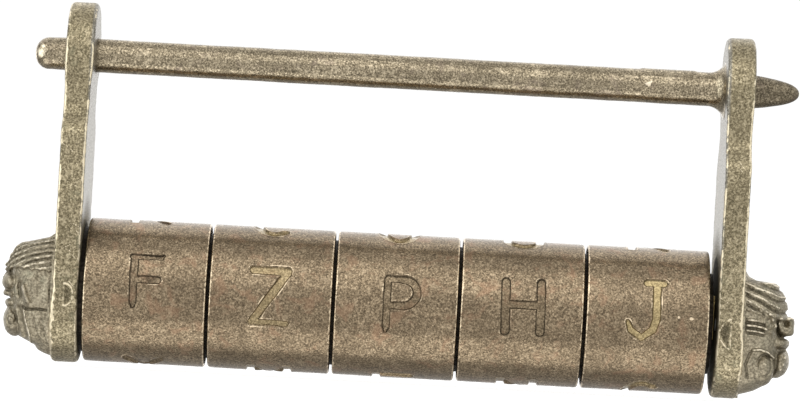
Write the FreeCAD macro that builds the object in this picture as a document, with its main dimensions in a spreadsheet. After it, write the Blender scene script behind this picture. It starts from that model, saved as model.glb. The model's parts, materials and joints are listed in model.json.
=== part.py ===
import FreeCAD, Part
import math
import os
import Sketcher

# Keyless letter-wheel padlock: five letter wheels on a slotted spindle between two end plates,
# a shackle rod across the top and a cast beast head outside each plate.
# Millimetres. +X runs along the rod and the wheels, the front is -Y and +Z points from the wheels
# up to the rod. The origin is on the rod's axis, midway between the plates' inner faces.

V = FreeCAD.Vector
doc = FreeCAD.newDocument("letter_wheel_padlock")

# ---------------------------------------------------------------- driving dimensions
DIMENSIONS = [
    ("plate_span", 78.0, "between the plates' inner faces"),
    ("plate_t", 2.9, "plate thickness"),
    ("plate_edge", 0.4, "rounding of the plates' edges"),
    ("eye_round", 6.4, "half width of the plate at the rod"),
    ("eye_top", 6.5, "plate top above the rod's axis"),
    ("neck_half", 6.2, "half width of the plate's neck"),
    ("shoulder_half", 8.3, "half width of the plate's shoulder"),
    ("side_half", 8.1, "half width of the plate beside the wheels"),
    ("plate_foot", 9.15, "plate bottom below the wheels' axis"),
    ("axis_drop", 28.86, "rod axis to wheel axis"),
    ("mark_depth", 0.35, "depth of the index marks in the plates' front edges"),
    ("rod_d", 4.2, "shackle rod diameter"),
    ("rod_play", 0.1, "radial play of the rod in the left eye"),
    ("rod_past_left", 4.5, "rod past the left plate's outer face"),
    ("rod_past_right", 6.2, "rod past the right plate's outer face"),
    ("rod_flare", 1.9, "radius of the concave flare at the rod's foot"),
    ("tenon_d", 4.1, "rod diameter inside the right plate"),
    ("wheel_d", 17.7, "wheel diameter"),
    ("wheel_w", 14.75, "wheel width"),
    ("wheel_gap", 0.6, "gap between neighbouring wheels"),
    ("wheel_start", 0.7, "left plate to the first wheel"),
    ("wheel_edge", 0.28, "chamfer of the wheels' edges"),
    ("letter_depth", 0.32, "depth of the letters"),
    ("letter_half_w", 2.5, "half width of a letter"),
    ("letter_half_h", 3.65, "half height of a letter"),
    ("letter_stroke", 1.1, "width of a letter's stroke"),
    ("chamber_d", 12.4, "bore of the letter ring"),
    ("gate_t", 3.4, "thickness of the gate disc"),
    ("gate_w", 3.0, "width of every gate notch"),
    ("gate_r", 5.9, "reach of every gate notch from the axis"),
    ("fit", 0.02, "radial play of the fixed fits"),
    ("spindle_d", 8.0, "spindle diameter"),
    ("spindle_play", 0.05, "radial play of the wheels on the spindle"),
    ("collar_d", 15.4, "spindle collar beside the first wheel"),
    ("collar_t", 0.6, "collar thickness"),
    ("spindle_end", 0.25, "spindle end short of the right plate"),
    ("slot_w", 2.6, "width of the spindle's slot"),
    ("slot_floor", 2.2, "slot floor below the spindle's axis"),
    ("key_w", 1.5, "width of the keyway under the spindle"),
    ("key_d", 0.8, "depth of the keyway"),
    ("shank_d", 5.0, "spindle shank through the left plate"),
    ("spacer_d", 15.4, "spacer diameter"),
    ("spacer_t", 0.5, "spacer thickness"),
    ("clip_d", 12.6, "retaining clip diameter"),
    ("clip_t", 0.45, "retaining clip thickness"),
    ("groove_d", 7.0, "clip groove diameter"),
    ("comb_t", 2.4, "comb bar thickness"),
    ("comb_low", 2.0, "comb bar bottom below the axis"),
    ("comb_high", 3.4, "comb bar top above the axis"),
    ("tooth_top", 5.5, "tooth top above the axis"),
    ("tooth_l", 2.6, "tooth length"),
    ("tooth_gap", 0.6, "tooth to the gate disc on its right"),
    ("comb_start", 2.0, "comb bar end from the left plate"),
    ("head_pin_d", 1.6, "head pin diameter"),
    ("head_pin_at", 4.2, "head pins in front of and behind the axis"),
    ("head_pin_in", 2.2, "head pins' depth in the head"),
    ("head_plinth", 0.9, "thickness of the head's back rim"),
]
sheet = doc.addObject("Spreadsheet::Sheet", "Dimensions")
for row, (alias, value, note) in enumerate(DIMENSIONS, start=1):
    sheet.set(f"A{row}", note)
    sheet.set(f"B{row}", str(value))
    sheet.setAlias(f"B{row}", alias)
doc.recompute()


class Size:
    """A length: its value now, and the sheet expression that keeps a feature tied to it."""

    def __init__(self, value, text):
        self.value, self.text = value, text

    def _join(self, other, sign, result, swap=False):
        a, b = (as_size(other), self) if swap else (self, as_size(other))
        return Size(result(a.value, b.value), f"({a.text} {sign} {b.text})")

    def __add__(self, other):
        return self._join(other, "+", lambda a, b: a + b)

    def __sub__(self, other):
        return self._join(other, "-", lambda a, b: a - b)

    def __rsub__(self, other):
        return self._join(other, "-", lambda a, b: a - b, swap=True)

    def __mul__(self, other):
        return self._join(other, "*", lambda a, b: a * b)

    def __truediv__(self, other):
        return self._join(other, "/", lambda a, b: a / b)

    def __neg__(self):
        return Size(-self.value, f"(-1 * {self.text})")

    __radd__ = __add__
    __rmul__ = __mul__


def as_size(x):
    return x if isinstance(x, Size) else Size(float(x), f"{float(x):.6g}")


def num(x):
    return x.value if isinstance(x, Size) else float(x)


D = {alias: Size(float(sheet.get(alias)), f"Dimensions.{alias}") for alias, _, _ in DIMENSIONS}

inner = D["plate_span"] / 2
outer = inner + D["plate_t"]
axis_z = -D["axis_drop"]
wheel_r = D["wheel_d"] / 2
bore_r = D["spindle_d"] / 2 + D["spindle_play"]
pitch = D["wheel_w"] + D["wheel_gap"]
first_wheel = D["wheel_start"] - inner


# ---------------------------------------------------------------- helpers
def bind(obj, prop, size):
    obj.setExpression(prop, as_size(size).text)


def recompute():
    """Recompute the document, and stop at the first object that failed."""
    doc.recompute()
    for obj in doc.Objects:
        if {"Invalid", "Error"} & set(obj.State):
            raise RuntimeError(f"{obj.Name} ({obj.Label}) failed: {obj.State} {obj.getStatusString()}")


def place(obj, x=0.0, z=0.0):
    bind(obj, "Placement.Base.x", x)
    bind(obj, "Placement.Base.z", z)


def new_body(label):
    body = doc.addObject("PartDesign::Body", label)
    body.Label = label
    return body


def new_sketch(body, plane, offset=0.0, turn=None):
    """A sketch on one of the body's own origin planes, moved along the plane's normal or turned about the body's X axis."""
    origin_plane = [f for f in body.Origin.OriginFeatures if f.Role == plane][0]
    sketch = body.newObject("Sketcher::SketchObject", "Sketch")
    sketch.AttachmentSupport = [(origin_plane, "")]
    sketch.MapMode = "FlatFace"
    if num(offset):
        bind(sketch, "AttachmentOffset.Base.z", offset)
    if turn is not None:
        sketch.AttachmentOffset = FreeCAD.Placement(V(), FreeCAD.Rotation(V(1, 0, 0), turn))
    return sketch


def outline(sketch, points, bound=True):
    """A closed outline through points. A point marked "arc" is the middle of an arc between its neighbours.

    Every corner is held by a pair of dimensions bound to the sheet, unless bound is false.
    """
    corners = [p for p in points if len(p) == 2]
    loop, i = [], 0
    while i < len(points):
        start, bend = points[i], points[(i + 1) % len(points)]
        is_arc = len(bend) == 3
        end = points[(i + 2) % len(points)] if is_arc else bend
        ends = [V(num(x), num(y), 0) for x, y in (start, end)]
        if is_arc:
            piece = Part.Arc(ends[0], V(num(bend[0]), num(bend[1]), 0), ends[1])
        else:
            piece = Part.LineSegment(*ends)
        loop.append(sketch.addGeometry(piece, False))
        i += 2 if is_arc else 1
    if not bound:
        return
    for n, ((x, y), g) in enumerate(zip(corners, loop)):
        corner = V(num(x), num(y), 0)
        at, prior_at = [1 if (sketch.getPoint(k, 1) - corner).Length < 1e-6 else 2 for k in (g, loop[n - 1])]
        sketch.addConstraint(Sketcher.Constraint("Coincident", loop[n - 1], prior_at, g, at))
        for kind, size in (("DistanceX", x), ("DistanceY", y)):
            c = sketch.addConstraint(Sketcher.Constraint(kind, -1, 1, g, at, num(size)))
            bind(sketch, f"Constraints[{c}]", size)


def circle(sketch, x, z, r):
    g = sketch.addGeometry(Part.Circle(V(num(x), num(z), 0), V(0, 0, 1), num(r)), False)
    for kind, size in (("DistanceX", x), ("DistanceY", z)):
        c = sketch.addConstraint(Sketcher.Constraint(kind, -1, 1, g, 3, num(size)))
        bind(sketch, f"Constraints[{c}]", size)
    c = sketch.addConstraint(Sketcher.Constraint("Radius", g, num(r)))
    bind(sketch, f"Constraints[{c}]", r)


def revolve(body, profile):
    """Turn a profile of (x, radius) corners about the body's X axis."""
    sketch = new_sketch(body, "XZ_Plane")
    outline(sketch, profile)
    turned = body.newObject("PartDesign::Revolution", "Revolution")
    turned.Profile = sketch
    turned.ReferenceAxis = (sketch, ["H_Axis"])
    turned.Angle = 360
    body.Tip = turned
    return turned


def pad(body, sketch, length, reverse=False, both=False):
    p = body.newObject("PartDesign::Pad", "Pad")
    p.Profile = sketch
    bind(p, "Length", length)
    p.Reversed = reverse
    p.Midplane = both
    body.Tip = p
    return p


def pocket(body, sketch, length, reverse=False, both=False):
    """Cut a sketch out of the body, and make sure that it really cuts."""
    recompute()
    before = body.Shape.Volume
    p = body.newObject("PartDesign::Pocket", "Pocket")
    p.Profile = sketch
    bind(p, "Length", length)
    p.Reversed = reverse
    p.Midplane = both
    body.Tip = p
    recompute()
    if not body.Shape.Volume < before - 1e-4:
        raise RuntimeError(f"a pocket in {body.Label} cuts nothing")
    return p


def rectangle(sketch, x0, x1, y0, y1):
    outline(sketch, [(x0, y0), (x1, y0), (x1, y1), (x0, y1)])


def gate_notch(body, reach, x0, x1):
    """The notch above the axis that a comb tooth passes through, cut from x0 to x1."""
    sketch = new_sketch(body, "XY_Plane")
    rectangle(sketch, x0, x1, -D["gate_w"] / 2, D["gate_w"] / 2)
    pocket(body, sketch, reach, reverse=True)


# ---------------------------------------------------------------- end plates
def plate_outline(sketch):
    """A smooth outline: round eye, narrow neck, shoulders, straight sides and a round foot."""
    side_half, round_z = D["side_half"], D["side_half"] - D["axis_drop"] - D["plate_foot"]
    swell = D["shoulder_half"]
    flank = [(0.0, D["eye_top"]), (D["eye_round"] * 0.71, D["eye_top"] - 1.9), (D["eye_round"], 0.6),
             (D["neck_half"] + 0.1, -2.4), (D["neck_half"], -4.8), (D["neck_half"] + 0.15, -6.6),
             (D["neck_half"] + 1.0, -8.0), (swell - 0.25, -9.1), (swell, -10.5), (swell - 0.08, -12.2),
             (side_half, -15.0)]
    around = flank[::-1] + [(-y, z) for y, z in flank[1:]]
    curve = Part.BSplineCurve()
    curve.interpolate(Points=[V(num(y), num(z), 0) for y, z in around], InitialTangent=V(0, 1, 0),
                      FinalTangent=V(0, -1, 0))
    top = sketch.addGeometry(curve, False)
    low = V(0, -num(D["axis_drop"] + D["plate_foot"]), 0)
    corner = {way: V(way * num(side_half), num(round_z), 0) for way in (1, -1)}
    side = {way: sketch.addGeometry(Part.LineSegment(V(corner[way].x, num(flank[-1][1]), 0), corner[way]), False)
            for way in (1, -1)}
    foot = sketch.addGeometry(Part.Arc(corner[-1], low, corner[1]), False)
    for one, one_end, other, other_end in ((top, 1, side[1], 1), (top, 2, side[-1], 1), (side[1], 2, foot, 2),
                                           (side[-1], 2, foot, 1)):
        sketch.addConstraint(Sketcher.Constraint("Coincident", one, one_end, other, other_end))
    for kind, g, size in (("DistanceX", side[1], side_half), ("DistanceY", side[1], round_z),
                          ("DistanceX", side[-1], -side_half), ("DistanceY", side[-1], round_z)):
        c = sketch.addConstraint(Sketcher.Constraint(kind, -1, 1, g, 2, num(size)))
        bind(sketch, f"Constraints[{c}]", size)


def end_plate(label, side):
    """A flat cast plate. side is -1 for the left plate and +1 for the right one."""
    body = new_body(label)
    side_half, drop = D["side_half"], D["axis_drop"]
    profile = new_sketch(body, "YZ_Plane")
    plate_outline(profile)
    slab = pad(body, profile, D["plate_t"], reverse=side < 0)
    recompute()
    rims = []
    for i, edge in enumerate(slab.Shape.Edges, start=1):
        xs = [v.Point.x for v in edge.Vertexes]
        if max(xs) - min(xs) < 1e-6:
            rims.append(f"Edge{i}")
    rounding = body.newObject("PartDesign::Fillet", "Rounding")
    rounding.Base = (slab, rims)
    bind(rounding, "Radius", D["plate_edge"])
    body.Tip = rounding

    # index mark: a D-shaped notch in the front edge, its straight side towards the head
    mark = new_sketch(body, "XZ_Plane", offset=side_half - D["mark_depth"])
    straight, bulge = D["plate_t"] * (side * 0.67), D["plate_t"] * (side * 0.21)
    outline(mark, [(straight, -drop + 0.85), (straight, -drop - 2.45), (bulge, -drop - 0.8, "arc")])
    pocket(body, mark, 2.0, reverse=True)

    pins = new_sketch(body, "YZ_Plane")
    for across in (-1, 1):
        circle(pins, D["head_pin_at"] * across, -drop, D["head_pin_d"] / 2 + D["fit"])
    pocket(body, pins, D["plate_t"] * 3, both=True)
    place(body, x=inner * side)
    return body


left_plate = end_plate("left_end_plate", -1)
eye = new_sketch(left_plate, "YZ_Plane")
circle(eye, 0.0, 0.0, D["rod_d"] / 2 + D["rod_play"])
pocket(left_plate, eye, D["plate_t"] * 3, both=True)
seat = new_sketch(left_plate, "YZ_Plane")
circle(seat, 0.0, axis_z, D["shank_d"] / 2 + D["fit"])
pocket(left_plate, seat, D["plate_t"] * 3, both=True)

right_plate = end_plate("right_end_plate", 1)
eye = new_sketch(right_plate, "YZ_Plane")
circle(eye, 0.0, 0.0, D["tenon_d"] / 2 + D["fit"])
pocket(right_plate, eye, D["plate_t"] * 3, both=True)
mortise = new_sketch(right_plate, "YZ_Plane")
half = D["comb_t"] / 2 + D["fit"]
rectangle(mortise, -half, half, axis_z - D["comb_low"] - D["fit"], axis_z + D["comb_high"] + D["fit"])
pocket(right_plate, mortise, D["plate_t"] * 3, both=True)

# ---------------------------------------------------------------- shackle rod
rod = new_body("shackle_rod")
rod_r, tenon_r, flare = D["rod_d"] / 2, D["tenon_d"] / 2, D["rod_flare"]
left_tip, right_tip = -outer - D["rod_past_left"], outer + D["rod_past_right"]
foot = inner - flare
slant = math.radians(15)
revolve(rod, [
    (left_tip, 0.0), (left_tip, 0.5), (left_tip + 0.55, rod_r - 0.55, "arc"),
    (left_tip + 2.1, rod_r - 0.05), (0.4 - inner, rod_r),
    (foot, rod_r),
    (foot + flare * math.sin(math.radians(37.5)),
     rod_r + flare * (1 - math.cos(math.radians(37.5))), "arc"),
    (foot + flare * math.cos(slant), rod_r + flare * (1 - math.sin(slant))),
    (inner, rod_r + flare * (1 - math.sin(slant))),
    (inner, tenon_r), (outer + 0.6, tenon_r),
    (right_tip - 1.35, tenon_r - 0.78), (right_tip - 0.4, tenon_r - 1.15, "arc"), (right_tip, tenon_r - 1.8),
    (right_tip, 0.0),
])

# ---------------------------------------------------------------- spindle and what it carries
spindle = new_body("spindle")
spindle_r, shank_r = D["spindle_d"] / 2, D["shank_d"] / 2
spindle_tip = inner - D["spindle_end"]
clip_x = spindle_tip - 0.2 - D["clip_t"]
revolve(spindle, [
    (-outer, 0.0), (-outer, shank_r), (-inner, shank_r), (-inner, D["collar_d"] / 2),
    (D["collar_t"] - inner, D["collar_d"] / 2), (D["collar_t"] - inner, spindle_r),
    (clip_x - 0.02, spindle_r), (clip_x - 0.02, D["groove_d"] / 2),
    (clip_x + D["clip_t"] + 0.02, D["groove_d"] / 2), (clip_x + D["clip_t"] + 0.02, spindle_r),
    (spindle_tip, spindle_r), (spindle_tip, 0.0),
])
slot = new_sketch(spindle, "XY_Plane", offset=-D["slot_floor"])
rectangle(slot, 1.2 - inner, inner, -D["slot_w"] / 2, D["slot_w"] / 2)
pocket(spindle, slot, D["spindle_d"], reverse=True)
keyway = new_sketch(spindle, "XY_Plane", offset=D["key_d"] - D["spindle_d"] / 2)
rectangle(keyway, 0.6 - inner, clip_x - 0.4, -D["key_w"] / 2, D["key_w"] / 2)
pocket(spindle, keyway, 3.0)
place(spindle, z=axis_z)


def keyed_disc(label, radius, x):
    """A thin disc on the spindle, open over the slot for the comb teeth and keyed underneath."""
    body = new_body(label)
    revolve(body, [(0.0, spindle_r + D["fit"]), (0.0, radius), (D["spacer_t"], radius),
                   (D["spacer_t"], spindle_r + D["fit"])])
    gate_notch(body, D["gate_r"], -0.2, D["spacer_t"] + 0.2)
    tab = new_sketch(body, "YZ_Plane")
    tab_half = D["key_w"] / 2 - 0.03
    rectangle(tab, -tab_half, tab_half, -spindle_r - 0.4, D["key_d"] - spindle_r - 0.05)
    pad(body, tab, D["spacer_t"])
    place(body, x=x, z=axis_z)
    return body


for n in range(1, 5):
    gap_start = first_wheel + pitch * n - D["wheel_gap"]
    keyed_disc(f"wheel_spacer_{n}", D["spacer_d"] / 2, gap_start + (D["wheel_gap"] - D["spacer_t"]) / 2)

clip = new_body("spindle_clip")
clip_bore = D["groove_d"] / 2 + D["fit"]
revolve(clip, [(0.0, clip_bore), (0.0, D["clip_d"] / 2), (D["clip_t"], D["clip_d"] / 2), (D["clip_t"], clip_bore)])
gate_notch(clip, D["clip_d"], -0.2, D["clip_t"] + 0.2)
place(clip, x=clip_x, z=axis_z)

# ---------------------------------------------------------------- letters
a, b, t = num(D["letter_half_w"]), num(D["letter_half_h"]), num(D["letter_stroke"])
c = b - a  # height of the centre of a round top, above the letter's middle
q = a * math.sqrt(0.5)
r_in = a - t
p = r_in * math.sqrt(0.5)
waist = t / 2
# Each letter is a list of closed outlines of (across, up) corners. "arc" marks the middle of an arc.
LETTERS = {
    "F": [[(-a, -b), (-a + t, -b), (-a + t, 0.3 - waist), (a - 0.15, 0.3 - waist), (a - 0.15, 0.3 + waist),
           (-a + t, 0.3 + waist), (-a + t, b - t), (a, b - t), (a, b), (-a, b)]],
    "Z": [[(-a, -b), (a, -b), (a, -b + t), (-a + 1.35 * t, -b + t), (a, b - t), (a, b), (-a, b), (-a, b - t),
           (a - 1.35 * t, b - t), (-a, -b + t)]],
    "P": [[(-a, -b), (-a + t, -b), (-a + t, -0.5), (0.25, -0.5), (a, b / 2 - 0.25, "arc"), (0.25, b), (-a, b)],
          [(-a + t, -0.5 + t), (0.2, -0.5 + t), (r_in, b / 2 - 0.25, "arc"), (0.2, b - t), (-a + t, b - t)]],
    "H": [[(-a, -b), (-a + t, -b), (-a + t, -waist), (a - t, -waist), (a - t, -b), (a, -b), (a, b), (a - t, b),
           (a - t, waist), (-a + t, waist), (-a + t, b), (-a, b)]],
    "J": [[(0.75, -1.9), (0.75, b - 0.9), (-0.45, b - 0.9), (-0.45, b + 0.25), (2.35, b + 0.25), (2.35, b - 0.9),
           (1.85, b - 0.9), (1.85, -1.9), (-0.25, -b - 0.5, "arc"), (-2.35, -1.9), (-1.3, -1.9),
           (-0.275, -b + 0.58, "arc")]],
    "K": [[(-a, -b), (-a + t, -b), (-a + t, -0.75), (a - 1.3, -b), (a, -b), (-a + t + 0.75, 0), (a, b),
           (a - 1.3, b), (-a + t, 0.75), (-a + t, b), (-a, b)]],
    "X": [[(-a, -b), (-a + 1.35, -b), (0, -1.68), (a - 1.35, -b), (a, -b), (0.68, 0), (a, b), (a - 1.35, b),
           (0, 1.68), (-a + 1.35, b), (-a, b), (-0.68, 0)]],
    "T": [[(-waist, -b), (waist, -b), (waist, b - t), (a, b - t), (a, b), (-a, b), (-a, b - t), (-waist, b - t)]],
    "C": [[(a, c), (q, c + q, "arc"), (0, b), (-q, c + q, "arc"), (-a, c), (-a, -c), (-q, -c - q, "arc"), (0, -b),
           (q, -c - q, "arc"), (a, -c), (r_in, -c), (p, -c - p, "arc"), (0, -c - r_in), (-p, -c - p, "arc"),
           (-r_in, -c), (-r_in, c), (-p, c + p, "arc"), (0, c + r_in), (p, c + p, "arc"), (r_in, c)]],
    "O": [[(a, -c), (a, c), (0, b, "arc"), (-a, c), (-a, -c), (0, -b, "arc")],
          [(r_in, -c), (r_in, c), (0, c + r_in, "arc"), (-r_in, c), (-r_in, -c), (0, -c - r_in, "arc")]],
    "U": [[(-a, b), (-a + t, b), (-a + t, -c), (0, -c - r_in, "arc"), (a - t, -c), (a - t, b), (a, b), (a, -c),
           (0, -b, "arc"), (-a, -c)]],
    "L": [[(-a, -b), (a, -b), (a, -b + t), (-a + t, -b + t), (-a + t, b), (-a, b)]],
    "E": [[(-a, -b), (a, -b), (a, -b + t), (-a + t, -b + t), (-a + t, -waist), (a - 0.4, -waist),
           (a - 0.4, waist), (-a + t, waist), (-a + t, b - t), (a, b - t), (a, b), (-a, b)]],
    "N": [[(-a, -b), (-a + t, -b), (-a + t, b - 2.3), (a - t, -b), (a, -b), (a, b), (a - t, b), (a - t, 2.3 - b),
           (-a + t, b), (-a, b)]],
    "V": [[(-a, b), (-a + 1.2, b), (0, -0.71), (a - 1.2, b), (a, b), (0.6, -b), (-0.6, -b)]],
    "Y": [[(-waist, -b), (waist, -b), (waist, -0.2), (a, b), (a - 1.3, b), (0, 1.61), (-a + 1.3, b), (-a, b),
           (-waist, -0.2)]],
}
# The letters at the front, on top, at the back and underneath, how far the set sits above the gate's
# line in degrees, and how far the front letter sits right of the wheel's middle.
WHEELS = [("FKTX", 10.0, 0.15), ("ZCNL", 4.0, -0.1), ("POVE", 2.0, 0.7), ("HUYN", 6.5, 0.2), ("JKLC", 9.5, -0.3)]


def ring(body, low, high, edge=None):
    """A ring about the X axis from radius low to radius high, as wide as a wheel, with chamfered outer edges."""
    w = D["wheel_w"]
    corners = [(0.0, low), (0.0, high), (w, high), (w, low)]
    if edge is not None:
        corners[1:3] = [(0.0, high - edge), (edge, high), (w - edge, high), (w, high - edge)]
    revolve(body, corners)


def letter_wheel(n, letters, tilt, aside):
    """One wheel: a skin with the letters cut through it, fused on a core, and a gate disc pressed inside."""
    x = first_wheel + pitch * (n - 1)
    core, skin = new_body(f"wheel_{n}_core"), new_body(f"wheel_{n}_skin")
    floor_r = wheel_r - D["letter_depth"]
    ring(core, D["chamber_d"] / 2, floor_r)
    ring(skin, floor_r, wheel_r, D["wheel_edge"])
    for quarter, letter in enumerate(letters):
        sketch = new_sketch(skin, "XZ_Plane", turn=-(tilt + 90 * quarter))
        middle = num(D["wheel_w"]) / 2 + (aside if quarter == 0 else 0)
        for loop in LETTERS[letter]:
            outline(sketch, [(middle + corner[0], *corner[1:]) for corner in loop], bound=False)
        pocket(skin, sketch, D["wheel_d"], reverse=True)
    wheel = doc.addObject("Part::Fuse", f"wheel_{n}_letter_ring")
    wheel.Label = f"wheel_{n}_letter_ring"
    wheel.Base, wheel.Tool, wheel.Refine = core, skin, True
    place(wheel, x=x, z=axis_z)

    gate = new_body(f"wheel_{n}_gate")
    gate_low = D["wheel_w"] - 0.1 - D["gate_t"]
    disc_r = D["chamber_d"] / 2 - 0.01
    revolve(gate, [(gate_low, bore_r), (gate_low, disc_r - 0.2), (gate_low + 0.2, disc_r),
                   (gate_low + D["gate_t"], disc_r), (gate_low + D["gate_t"], bore_r)])
    gate_notch(gate, D["gate_r"], gate_low - 0.5, gate_low + D["gate_t"] + 0.5)
    place(gate, x=x, z=axis_z)
    return wheel, gate


wheels = [letter_wheel(n, *spec) for n, spec in enumerate(WHEELS, start=1)]

# ---------------------------------------------------------------- comb bar
comb = new_body("comb_bar")
bar = new_sketch(comb, "XZ_Plane")
rectangle(bar, D["comb_start"] - inner, outer, -D["comb_low"], D["comb_high"])
pad(comb, bar, D["comb_t"], both=True)
tooth = new_sketch(comb, "XZ_Plane")
tooth_right = first_wheel + D["wheel_w"] - 0.1 - D["gate_t"] - D["tooth_gap"]
tooth_left = tooth_right - D["tooth_l"]
outline(tooth, [(tooth_left, D["comb_high"] - 0.5), (tooth_right, D["comb_high"] - 0.5),
                (tooth_right, D["tooth_top"]), (tooth_left + 0.5, D["tooth_top"]),
                (tooth_left, D["tooth_top"] - 0.6)])
teeth = pad(comb, tooth, D["comb_t"], both=True)
row_of_teeth = comb.newObject("PartDesign::LinearPattern", "Teeth")
row_of_teeth.Originals = [teeth]
row_of_teeth.Direction = (bar, ["H_Axis"])
row_of_teeth.Occurrences = 5
bind(row_of_teeth, "Length", pitch * 4)
comb.Tip = row_of_teeth
place(comb, z=axis_z)


# ---------------------------------------------------------------- beast heads
# A lion mask facing away from the plate. Each lump is an ellipsoid: its centre as (out from the
# plate, sideways, above the axis), its half sizes in the same order, and its tilt about the Y axis.
LUMPS = [
    ("skull", (0.0, 0.0, -1.1), (6.0, 5.9, 6.9), 0),
    ("crown", (2.9, 0.0, 2.2), (3.2, 4.6, 3.1), 0),
    ("forehead", (4.6, 0.0, 2.2), (1.8, 3.2, 1.7), 0),
    ("muzzle", (5.1, 0.0, -0.2), (2.0, 2.7, 1.8), 0),
    ("nose", (6.4, 0.0, 0.4), (0.8, 1.3, 0.95), 0),
    ("upper_lip", (6.1, 0.0, -1.1), (0.75, 1.8, 0.7), 0),
    ("jaw", (4.5, 0.0, -4.0), (2.1, 2.9, 2.3), 0),
    ("chin", (2.9, 0.0, -6.1), (2.3, 2.6, 1.5), 20),
]
PAIRED_LUMPS = [
    ("brow", (4.9, 2.2, 1.8), (1.4, 1.5, 0.75), 0),
    ("eye", (5.3, 2.3, 0.5), (0.75, 0.9, 0.75), 0),
    ("cheek", (4.2, 3.3, -1.9), (1.6, 1.5, 1.5), 0),
    ("jowl", (2.0, 3.6, -5.0), (2.4, 2.3, 2.7), 15),
    ("ear", (3.0, 4.5, 3.2), (1.2, 1.1, 1.5), 0),
]
MANE_LOCKS = 9
BREADTH = 1.3  # how much broader than drawn above the head is, side to side


def ellipsoid(name, centre, half, tilt=0.0, lean=0.0):
    centre, half = [(v[0], v[1] * BREADTH, v[2]) for v in (centre, half)]
    lump = doc.addObject("Part::Ellipsoid", name)
    # the first radius lies along the primitive's own Z, so it carries the height
    lump.Radius1, lump.Radius2, lump.Radius3 = half[2], half[0], half[1]
    # the half turn about Z puts the ellipsoid's seam inside the head
    turn = (FreeCAD.Rotation(V(1, 0, 0), lean) * FreeCAD.Rotation(V(0, 1, 0), tilt)
            * FreeCAD.Rotation(V(0, 0, 1), 180))
    lump.Placement = FreeCAD.Placement(V(*centre), turn)
    return lump


lumps = [ellipsoid(f"head_{name}", centre, half, tilt) for name, centre, half, tilt in LUMPS]
for name, (out, across, up), half, tilt in PAIRED_LUMPS:
    lumps += [ellipsoid(f"head_{name}_{k}", (out, s * across, up), half, tilt) for k, s in (("f", -1), ("r", 1))]
for i in range(MANE_LOCKS):
    around = math.radians(-80 + 160 * i / (MANE_LOCKS - 1))
    centre = (2.0, 5.25 * math.sin(around), 5.15 * math.cos(around))
    lumps.append(ellipsoid(f"head_lock_{i + 1}", centre, (3.2, 0.85, 0.95), tilt=10, lean=-math.degrees(around)))
plinth = doc.addObject("Part::Cylinder", "head_plinth")
bind(plinth, "Radius", D["side_half"] - 0.05)
bind(plinth, "Height", D["head_plinth"])
plinth.Placement = FreeCAD.Placement(V(), FreeCAD.Rotation(V(0, 1, 0), 90))
rim_top, rim_low = doc.addObject("Part::Ellipsoid", "head_rim_top"), doc.addObject("Part::Ellipsoid", "head_rim_low")
for rim, up, tall in ((rim_top, 2.6, 5.2), (rim_low, -3.0, 5.6)):
    rim.Radius1, rim.Radius2, rim.Radius3 = tall, 1.2, 5.6 * BREADTH
    rim.Placement = FreeCAD.Placement(V(0, 0, up), FreeCAD.Rotation(V(0, 0, 1), 180))
lumps += [plinth, rim_top, rim_low]
mass = doc.addObject("Part::MultiFuse", "head_mass")
mass.Shapes = lumps
tools = []
behind = doc.addObject("Part::Box", "head_behind")
behind.Length, behind.Width, behind.Height = 20, 40, 40
behind.Placement.Base = V(-20, -20, -20)
tools.append(behind)
mouth = doc.addObject("Part::Cylinder", "head_mouth")
mouth.Radius, mouth.Height = 0.55, 6.6
mouth.Placement = FreeCAD.Placement(V(6.75, 3.3, -2.05), FreeCAD.Rotation(V(1, 0, 0), 90))
tools.append(mouth)
for k, across in (("front", -1), ("rear", 1)):
    hole = doc.addObject("Part::Cylinder", f"head_pin_hole_{k}")
    bind(hole, "Radius", D["head_pin_d"] / 2 + D["fit"])
    bind(hole, "Height", D["head_pin_in"] + 1.1)
    hole.Placement = FreeCAD.Placement(V(-1, 0, 0), FreeCAD.Rotation(V(0, 1, 0), 90))
    bind(hole, "Placement.Base.y", D["head_pin_at"] * across)
    tools.append(hole)
cuts = doc.addObject("Part::MultiFuse", "head_cuts")
cuts.Shapes = tools
head = doc.addObject("Part::Cut", "right_beast_head")
head.Label = "right_beast_head"
head.Base, head.Tool = mass, cuts
place(head, x=outer, z=axis_z)
left_head = doc.addObject("Part::Mirroring", "left_beast_head")
left_head.Label = "left_beast_head"
left_head.Source = head
left_head.Normal = V(1, 0, 0)


def head_pins(label, side):
    """Two pins from the plate's inner face into the head."""
    body = new_body(label)
    sketch = new_sketch(body, "YZ_Plane")
    for across in (-1, 1):
        circle(sketch, D["head_pin_at"] * across, 0.0, D["head_pin_d"] / 2)
    pad(body, sketch, D["plate_t"] + D["head_pin_in"], reverse=side < 0)
    place(body, x=inner * side, z=axis_z)
    return body


left_pins, right_pins = head_pins("left_head_pins", -1), head_pins("right_head_pins", 1)

# ---------------------------------------------------------------- check and write
recompute()
NODES = ["left_end_plate", "right_end_plate", "shackle_rod", "spindle", "spindle_clip", "comb_bar",
         "left_beast_head", "right_beast_head", "left_head_pins", "right_head_pins"]
NODES += [f"wheel_spacer_{n}" for n in range(1, 5)]
NODES += [f"wheel_{n}_{piece}" for n in range(1, 6) for piece in ("letter_ring", "gate")]
pieces = {}
for label in NODES:
    shape = doc.getObjectsByLabel(label)[0].Shape
    if shape.isNull() or not shape.isValid():
        raise RuntimeError(f"{label} has no valid shape")
    pieces[label] = shape
os.makedirs("parts", exist_ok=True)
for label, shape in pieces.items():
    shape.exportStep(f"parts/{label}.step")
    print(f"{label}: {len(shape.Solids)} solid, {shape.Volume:.1f} mm3, {shape.BoundBox}")
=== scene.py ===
import json
import math
import bpy
import numpy as np
from mathutils import Matrix, Vector


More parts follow.
